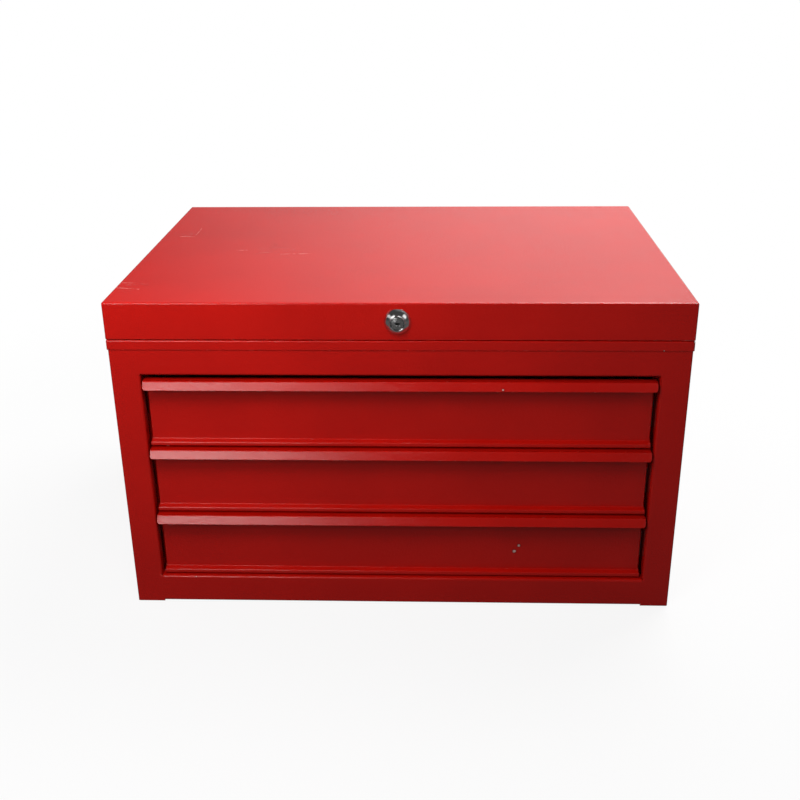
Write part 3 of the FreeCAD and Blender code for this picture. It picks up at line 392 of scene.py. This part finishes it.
def skin(name, grids, material, closed_rows=False):
    """One mesh over grids of points, rows by columns. The columns close on themselves. The rows close
    too, or else the first and the last are each shut by a fan of triangles to its own middle. A grid
    whose signed volume about its middle is negative has its faces turned round."""
    points, faces, count = [], [], 0
    for grid in grids:
        rows, columns = grid.shape[:2]
        index = np.arange(rows * columns).reshape(rows, columns)
        if closed_rows:
            index = np.vstack((index, index[:1]))
        right = np.roll(index, -1, axis=1)
        quads = np.stack((index[:-1], right[:-1], right[1:], index[1:]), axis=-1).reshape(-1, 4)
        flat = grid.reshape(-1, 3)
        a, b, c, d = (flat - flat.mean(0))[quads].transpose(1, 0, 2)
        outward = (a * np.cross(b, c) + a * np.cross(c, d)).sum() > 0
        grown = quads.tolist()
        if not closed_rows:
            middle = np.full(columns, rows * columns)
            grown += np.stack((middle, right[0], index[0]), axis=-1).tolist()
            grown += np.stack((middle + 1, index[-1], right[-1]), axis=-1).tolist()
            flat = np.vstack((flat, grid[0].mean(0), grid[-1].mean(0)))
        faces += [[corner + count for corner in face[::1 if outward else -1]] for face in grown]
        points.append(flat)
        count += len(flat)
    mesh = bpy.data.meshes.new(name)
    mesh.from_pydata(np.vstack(points).tolist(), [], faces)
    mesh.shade_smooth()
    mesh.materials.append(material)
    piece = bpy.data.objects.new(name, mesh)
    bpy.context.scene.collection.objects.link(piece)
    return piece


def lathe(profile, centre, axis, across, columns):
    """Grid of a turned shape. Profile rows are (distance along the axis, radius); each is carried round
    the axis in equal angles, starting from the direction across it."""
    axis, across = np.array(axis, float), np.array(across, float)
    angle = np.linspace(0, 2 * np.pi, columns, endpoint=False)[None, :, None]
    ring = np.cos(angle) * across + np.sin(angle) * np.cross(axis, across)
    along, radius = np.array(profile).T[:, :, None, None]
    return np.array(centre, float) + along * axis + radius * ring


def rivet(at, inward, grip):
    """Turned rivet: low dome with a soft edge on the sheet, shank through the grip, formed tail."""
    corners = [(-0.0011, 0.0001), (-0.0011, 0.0016), (-0.0004, 0.0030), (0, 0.0030), (0, 0.0016),
               (grip, 0.0016), (grip, 0.0023), (grip + 0.0009, 0.0023), (grip + 0.0009, 0.0001)]
    radii = [0, 0.0016, 0.0002, 0.0001, 0, 0, 0.0001, 0.0003, 0]
    return lathe(rounded(corners, radii, 3), at, inward, (0, 0, 1), 20)


def stay_pin(side, head, wall, outside, pivot):
    """Turned pivot of a stay: wide head past the link, thick shank to the wall, riveted over outside.
    The places are distances from the middle of the box."""
    corners = [(head - 0.0014, 0.0001), (head - 0.0014, 0.0042), (head, 0.0042), (head, 0.0025),
               (wall, 0.0025), (wall, 0.0016), (outside, 0.0016), (outside, 0.0030),
               (outside + 0.0009, 0.0030), (outside + 0.0009, 0.0001)]
    radii = [0, 0.0005, 0.0001, 0, 0, 0, 0, 0.0001, 0.0007, 0]
    return lathe(rounded(corners, radii, 3), pivot, (side, 0, 0), (0, 0, 1), 24)


joints = {joint["name"]: joint for joint in frame["record"]["behaviour"]["joints"]}
body_leaf, lid_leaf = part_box("hinge_body_leaf"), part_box("hinge_lid_leaf")
leaf_sheet, leaf_edge, leaf_end = 0.001, 0.00425, 0.035
rivet_places = np.linspace(body_leaf[0].x + leaf_end, body_leaf[1].x - leaf_end, 8)
leaf_face = body_leaf[0].y + leaf_sheet
body_row = [rivet((x, leaf_face, body_leaf[0].z + leaf_edge), (0, -1, 0), 0.004) for x in rivet_places]
lid_row = [rivet((x, leaf_face, lid_leaf[1].z - leaf_edge), (0, -1, 0), 0.003) for x in rivet_places]
lower_pivot, upper_pivot = (joints[f"stay_{end}_pivot"]["pos_m"] for end in ("lower", "upper"))
lower_head, upper_head = 0.3138, 0.3112
wall_and_tray, skirt = 0.002, 0.001
handle_sheet, handle_edge = 0.0015, 0.0065
for name, side in zip(both, (-1, 1)):
    body_row.append(stay_pin(side, lower_head, wall_face - wall_and_tray, wall_face, lower_pivot))
    lid_row.append(stay_pin(side, upper_head, lid_high.x - skirt, lid_high.x, upper_pivot))
    low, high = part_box(name + "_handle_plate")
    body_row += [rivet((side * (wall_face + handle_sheet), y, z), (-side, 0, 0), 0.0025)
                 for y in (low.y + handle_edge, high.y - handle_edge)
                 for z in (low.z + handle_edge, high.z - handle_edge)]
for name, grids, body in (("body_rivets", body_row, "cabinet"), ("lid_rivets", lid_row, "lid")):
    row = skin("turned_" + name, grids, zinc)
    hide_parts(name)
    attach(row, body)


# Cam lock. A die-cast body with a domed collar outside the skirt, held by a nut behind it, and a plug
# that turns a flat cam. The collar is chromed and the plug is satin nickel.
lock_spot = (0, lid_low.y, joints["key_turn"]["pos_m"][2])
slot_width, slot_height = 0.0051, 0.0015


def polished(name, lightness=0.78, satin=0.0, grease_and_shade_keyway=False):
    """Polished plate over metal, with faint smears and fine hairlines. Satin dulls its gloss evenly. The
    keyway is the slot in the plug's face, painted near-black for the shade deep in it and for old grease."""
    place, feed = material_on(name, Metallic=1.0)
    smear = place.noise(120, 3)
    hair = place.noise(1, 2, (1500, 1500, 60))
    rough = 0.07 + satin + 0.08 * smear.step(0.45, 0.75) + 0.04 * hair
    dark = (lightness * 0.82, lightness * 0.81, lightness * 0.80, 1)
    colour = smear.blend(dark, (lightness, lightness, lightness * 1.01, 1))
    if grease_and_shade_keyway:
        # Painted shade with grease: the slot's walls and floor are coloured near-black, as the shade inside
        # it.
        x, _, z = place.parts()
        offsets = ((x, slot_width / 2), (z - lock_spot[2], slot_height / 2))
        across, upright = (abs(offset).step(half + 0.00035, half + 0.00005) for offset, half in offsets)
        colour = (across * upright).blend(colour, (0.012, 0.011, 0.010, 1))
    return feed(Base_Color=colour, Roughness=rough, Normal=(smear + 0.3 * hair).raised(0.00004, 0.3))


bright = polished("chrome_plate")
collar_corners = [(0.0150, 0.00745), (0.0150, 0.0095), (0.0, 0.0095), (0.0, 0.0145), (-0.0011, 0.0145),
                  (-0.0038, 0.0127), (-0.0064, 0.0098), (-0.0064, 0.0088), (-0.00819, 0.0087),
                  (-0.00819, 0.00745)]
collar_radii = [0.0002, 0.0004, 0, 0.0001, 0.0004, 0.006, 0.0004, 0.0003, 0.0006, 0.0006]
collar_grid = lathe(rounded(collar_corners, collar_radii), lock_spot, (0, 1, 0), (1, 0, 0), 96)
collar = skin("lock_collar", [collar_grid], bright, closed_rows=True)
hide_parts("lock_body")
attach(collar, "lid")


def key_plug():
    """Plug as rings about its axis, from the slot's floor out over its face and back to the cam's square.
    A ring is a circle, a rectangle, or a mix of them by its share: rectangle radius at an angle is the
    lesser of half width over cosine and half height over sine. Angles are dense at the slot's corners.
    Rows are (depth behind the face, share, radius, rectangle)."""
    corner = math.atan2(slot_height, slot_width)
    sides = [corner, math.pi - corner, math.pi + corner, 2 * math.pi - corner, 2 * math.pi + corner]
    angle = np.concatenate([np.linspace(a, b, 24, endpoint=False) for a, b in zip(sides[:-1], sides[1:])])
    flat, upright = np.abs(np.cos(angle)) + 1e-9, np.abs(np.sin(angle)) + 1e-9
    slot = np.minimum(slot_width / 2 / flat, slot_height / 2 / upright)
    square = np.minimum(0.0030 / flat, 0.0030 / upright)
    face = -0.0072
    rings = [(0.0060, 1, 0, slot), (0.0001, 1, 0, slot), (-0.00045, 1, 0, slot), (-0.0006, 1, 0.0001, slot),
             (-0.0006, 0, 0.0035, slot), (-0.0005, 0, 0.00372, slot), (-0.0003, 0, 0.0039, slot),
             (-0.00005, 0, 0.0039, slot), (0, 0, 0.0040, slot), (0, 0, 0.0064, slot),
             (0.0001, 0, 0.0066, slot), (0.0008, 0, 0.0072, slot), (0.0011, 0, 0.0074, slot),
             (0.0220, 0, 0.0074, slot), (0.0222, 0, 0.0073, slot), (0.0222, 1, 0, square),
             (0.0249, 1, 0, square), (0.0250, 0.97, 0, square)]
    radius = np.array([share * shape + size for _, share, size, shape in rings])
    along = np.array([face + depth for depth, *_ in rings])[:, None] + 0 * angle
    return np.stack((radius * np.cos(angle), along, -radius * np.sin(angle)), axis=-1) + np.array(lock_spot)


plug = skin("lock_key_plug", [key_plug()], polished("plug_nickel", 0.62, 0.16, grease_and_shade_keyway=True))
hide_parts("lock_plug")
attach(plug, "key_lock")
coat(zinc, "lock_nut", "lock_cam", "lock_cam_screw")


# Carrying handles. A chromed plate with two ears riveted to each side wall, and a loop of round bar
# that drops back against the side.
def bar(path, radius, sides, level):
    """Grid of a round bar along a path that turns about one level direction. Each ring lies across the
    run there. At both ends the rings shrink with the sine of an angle, into a slightly domed tip."""
    tip_rings = 5
    run = np.gradient(path, axis=0)
    run /= np.linalg.norm(run, axis=1, keepdims=True)
    swell = np.linspace(0.15, 1, tip_rings) * np.pi / 2
    depth = (0.3 * radius * (1 - np.cos(swell)))[:, None]
    path = np.vstack((path[0] + depth * run[0], path[1:-1], path[-1] - depth[::-1] * run[-1]))
    run = np.vstack((np.repeat(run[:1], tip_rings, 0), run[1:-1], np.repeat(run[-1:], tip_rings, 0)))
    full = np.ones(len(path) - 2 * tip_rings)
    size = np.concatenate((np.sin(swell), full, np.sin(swell[::-1])))[:, None, None] * radius
    first = np.cross(run, level)
    first /= np.linalg.norm(first, axis=1, keepdims=True)
    second = np.cross(run, first)
    angle = np.linspace(0, 2 * np.pi, sides, endpoint=False)[None, :, None]
    return path[:, None] + size * (np.cos(angle) * first[:, None] + np.sin(angle) * second[:, None])


pin_end, leg, drop, bail_radius = 0.05825, 0.044, 0.038, 0.0035
bail_corners = [(-pin_end, 0), (-leg, 0), (-leg, -drop), (leg, -drop), (leg, 0), (pin_end, 0)]
bail_path = rounded(bail_corners, [0, 0.0045, 0.009, 0.009, 0.0045, 0], 12)
for side in both:
    coat(bright, side + "_handle_plate")
    spine = np.column_stack((np.zeros(len(bail_path)), bail_path)) + joints[side + "_bail_pivot"]["pos_m"]
    bail = skin(side + "_bail_bar", [bar(spine, bail_radius, 28, (1, 0, 0))], bright)
    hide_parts(side + "_handle_bail")
    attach(bail, side + "_bail")


# Drawer lock. A flat bar that slides in brackets on the back panel, pushed up by a coil spring and
# down by a foot under the lid, with a hook for each drawer.
coat(zinc, "lid_rod_presser", "drawer_lock_rod", "drawer_lock_guides")
low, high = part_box("drawer_lock_spring")
spring_foot = ((low.x + high.x) / 2, (low.y + high.y) / 2, low.z)
spring_length = high.z - low.z
rod_travel = -joints["lock_rod_slide"]["range_m"][0]
wire_radius, coil_radius, coils = 0.0006, 0.0038, 6
turns = np.linspace(0, 2 * np.pi * coils, coils * 28 + 1)
rise = wire_radius + (spring_length - 2 * wire_radius) * turns / turns[-1]
helix = np.column_stack((coil_radius * np.cos(turns), coil_radius * np.sin(turns), rise)) + spring_foot
spring = skin("return_spring", [bar(helix, wire_radius, 10, (0, 0, 1))], polished("spring_wire", 0.42))
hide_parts("drawer_lock_spring")
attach(spring, "cabinet")
1 - rod_travel / spring_length
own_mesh(spring)


# Studio. A pale floor that fades into a white background, a softbox at the front left whose shape shows
# in the finger lips, a high lamp beside it, a large one overhead, weaker ones at both sides, and a
# faint light from all round.
def grey(level):
    """Grey of one linear brightness."""
    return (level, level, level, 1)


def studio_floor():
    """Flat square floor as a grid of two by two points."""
    reach = 6.0
    mesh = bpy.data.meshes.new("studio_floor")
    corners = np.array([(-1, -1, 0), (1, -1, 0), (1, 1, 0), (-1, 1, 0)]) * reach
    mesh.from_pydata(corners.tolist(), [], [(0, 1, 2, 3)])
    floor = bpy.data.objects.new("studio_floor", mesh)
    bpy.context.scene.collection.objects.link(floor)
    return floor


def start_tree(block, coordinates):
    """Empties a node tree. Gives its coordinates as a wire, and two wires that are 1 or 0: whether a ray
    comes from the camera, and whether it does or was sent on by gloss or glass."""
    block.use_nodes = True
    block.node_tree.nodes.clear()
    place = Wire(block.node_tree).node("ShaderNodeTexCoord", output=coordinates)
    camera_ray = place.node("ShaderNodeLightPath", output="Is Camera Ray")
    rays = camera_ray.socket.node.outputs
    gloss, glass = (Wire(place.tree, rays[kind]) for kind in ("Is Glossy Ray", "Is Transmission Ray"))
    either = camera_ray + gloss + glass
    return place, camera_ray, either.math("MINIMUM", either, 1.0)


def end_tree(surface, kind):
    """Links a shader to a new output node."""
    output = surface.tree.nodes.new(kind)
    surface.tree.links.new(surface.socket, output.inputs["Surface"])


floor = studio_floor()
pale_floor = bpy.data.materials.new("pale_floor")
place, camera_ray, eye = start_tree(pale_floor, "Object")
whiteness = (0.88 + 0.12 * distance(place, (0, 0, 0)).step(0.45, 1.2)) * eye
matte = place.node("ShaderNodeBsdfDiffuse", {}, {"Color": camera_ray.blend(grey(0.09), grey(0.8))})
glow = place.node("ShaderNodeEmission", {}, {"Color": camera_ray.blend(grey(0.11), grey(1))})
end_tree(place.node("ShaderNodeMixShader", {}, {0: whiteness, 1: matte, 2: glow}), "ShaderNodeOutputMaterial")
floor.data.materials.append(pale_floor)

studio = bpy.data.worlds.new("studio")
direction, camera_ray, eye = start_tree(studio, "Generated")
sideways, backwards, _ = direction.parts()
rear_glow = backwards.step(-0.1, 0.6) * sideways.step(-0.40, 0.15)
room = rear_glow.blend(grey(0.06), grey(0.8))
backdrop = camera_ray.blend(room, grey(1))
sky = direction.node("ShaderNodeBackground", {}, {"Color": eye.blend(grey(0.11), backdrop)})
end_tree(sky, "ShaderNodeOutputWorld")
bpy.context.scene.world = studio


def softbox(name, spot, target, size, radiance, spread=180, glossy=True):
    """Rectangular lamp of a plain brightness, aimed at a point. Its power is brightness x area x pi."""
    lamp = bpy.data.lights.new(name, "AREA")
    lamp.shape = "RECTANGLE"
    lamp.size, lamp.size_y = size
    lamp.energy = radiance * size[0] * size[1] * math.pi
    lamp.spread = math.radians(spread)
    piece = bpy.data.objects.new(name, lamp)
    piece.location = spot
    piece.rotation_euler = (Vector(target) - Vector(spot)).to_track_quat("-Z", "Y").to_euler()
    piece.visible_camera = False
    piece.visible_glossy = glossy
    bpy.context.scene.collection.objects.link(piece)


lock_height = (0, -0.22, 0.36)
softbox("front_softbox", (-0.56, -1.158, 0.795), (-0.42, -0.207, 0.887), (0.46, 0.52), 5.6, 139)
softbox("high_lamp", (-0.20, -0.719, 0.976), (-0.355, -0.151, 0.52), (0.44, 0.36), 5.6, 132, glossy=False)
softbox("overhead_lamp", (0.60, 0.60, 1.55), (0.18, 0.18, 0.38), (1.0, 0.9), 10.8)
softbox("right_softbox", (1.10, -0.95, 1.02), lock_height, (0.75, 0.75), 1.1)
softbox("left_softbox", (-1.35, -0.60, 1.00), lock_height, (0.45, 0.45), 0.7)
softbox("side_lamp", (-1.70, 0.25, 0.75), (-0.33, 0.05, 0.20), (0.9, 0.9), 2.0)

# The camera stands in front, a little to the right and above, looking down by 23 degrees.
camera_spot = (0.0433, -1.31226, 0.7282)
yaw, pitch, roll = math.radians(2.189), math.radians(23.05), math.radians(-0.615)
forward = Vector((-math.sin(yaw) * math.cos(pitch), math.cos(yaw) * math.cos(pitch), -math.sin(pitch)))
level_right = Vector((math.cos(yaw), math.sin(yaw), 0))
level_up = level_right.cross(forward)
right = level_right * math.cos(roll) + level_up * math.sin(roll)
up = level_up * math.cos(roll) - level_right * math.sin(roll)
lens = bpy.data.cameras.new("camera")
lens.lens = 47.876
lens.sensor_width = 36.0
lens.clip_end = 50.0
camera = bpy.data.objects.new("camera", lens)
aim = Matrix((right, up, -forward)).transposed().to_4x4()
camera.matrix_world = Matrix.Translation(camera_spot) @ aim
bpy.context.scene.collection.objects.link(camera)
bpy.context.scene.camera = camera
bpy.context.scene.view_settings.view_transform = "Standard"
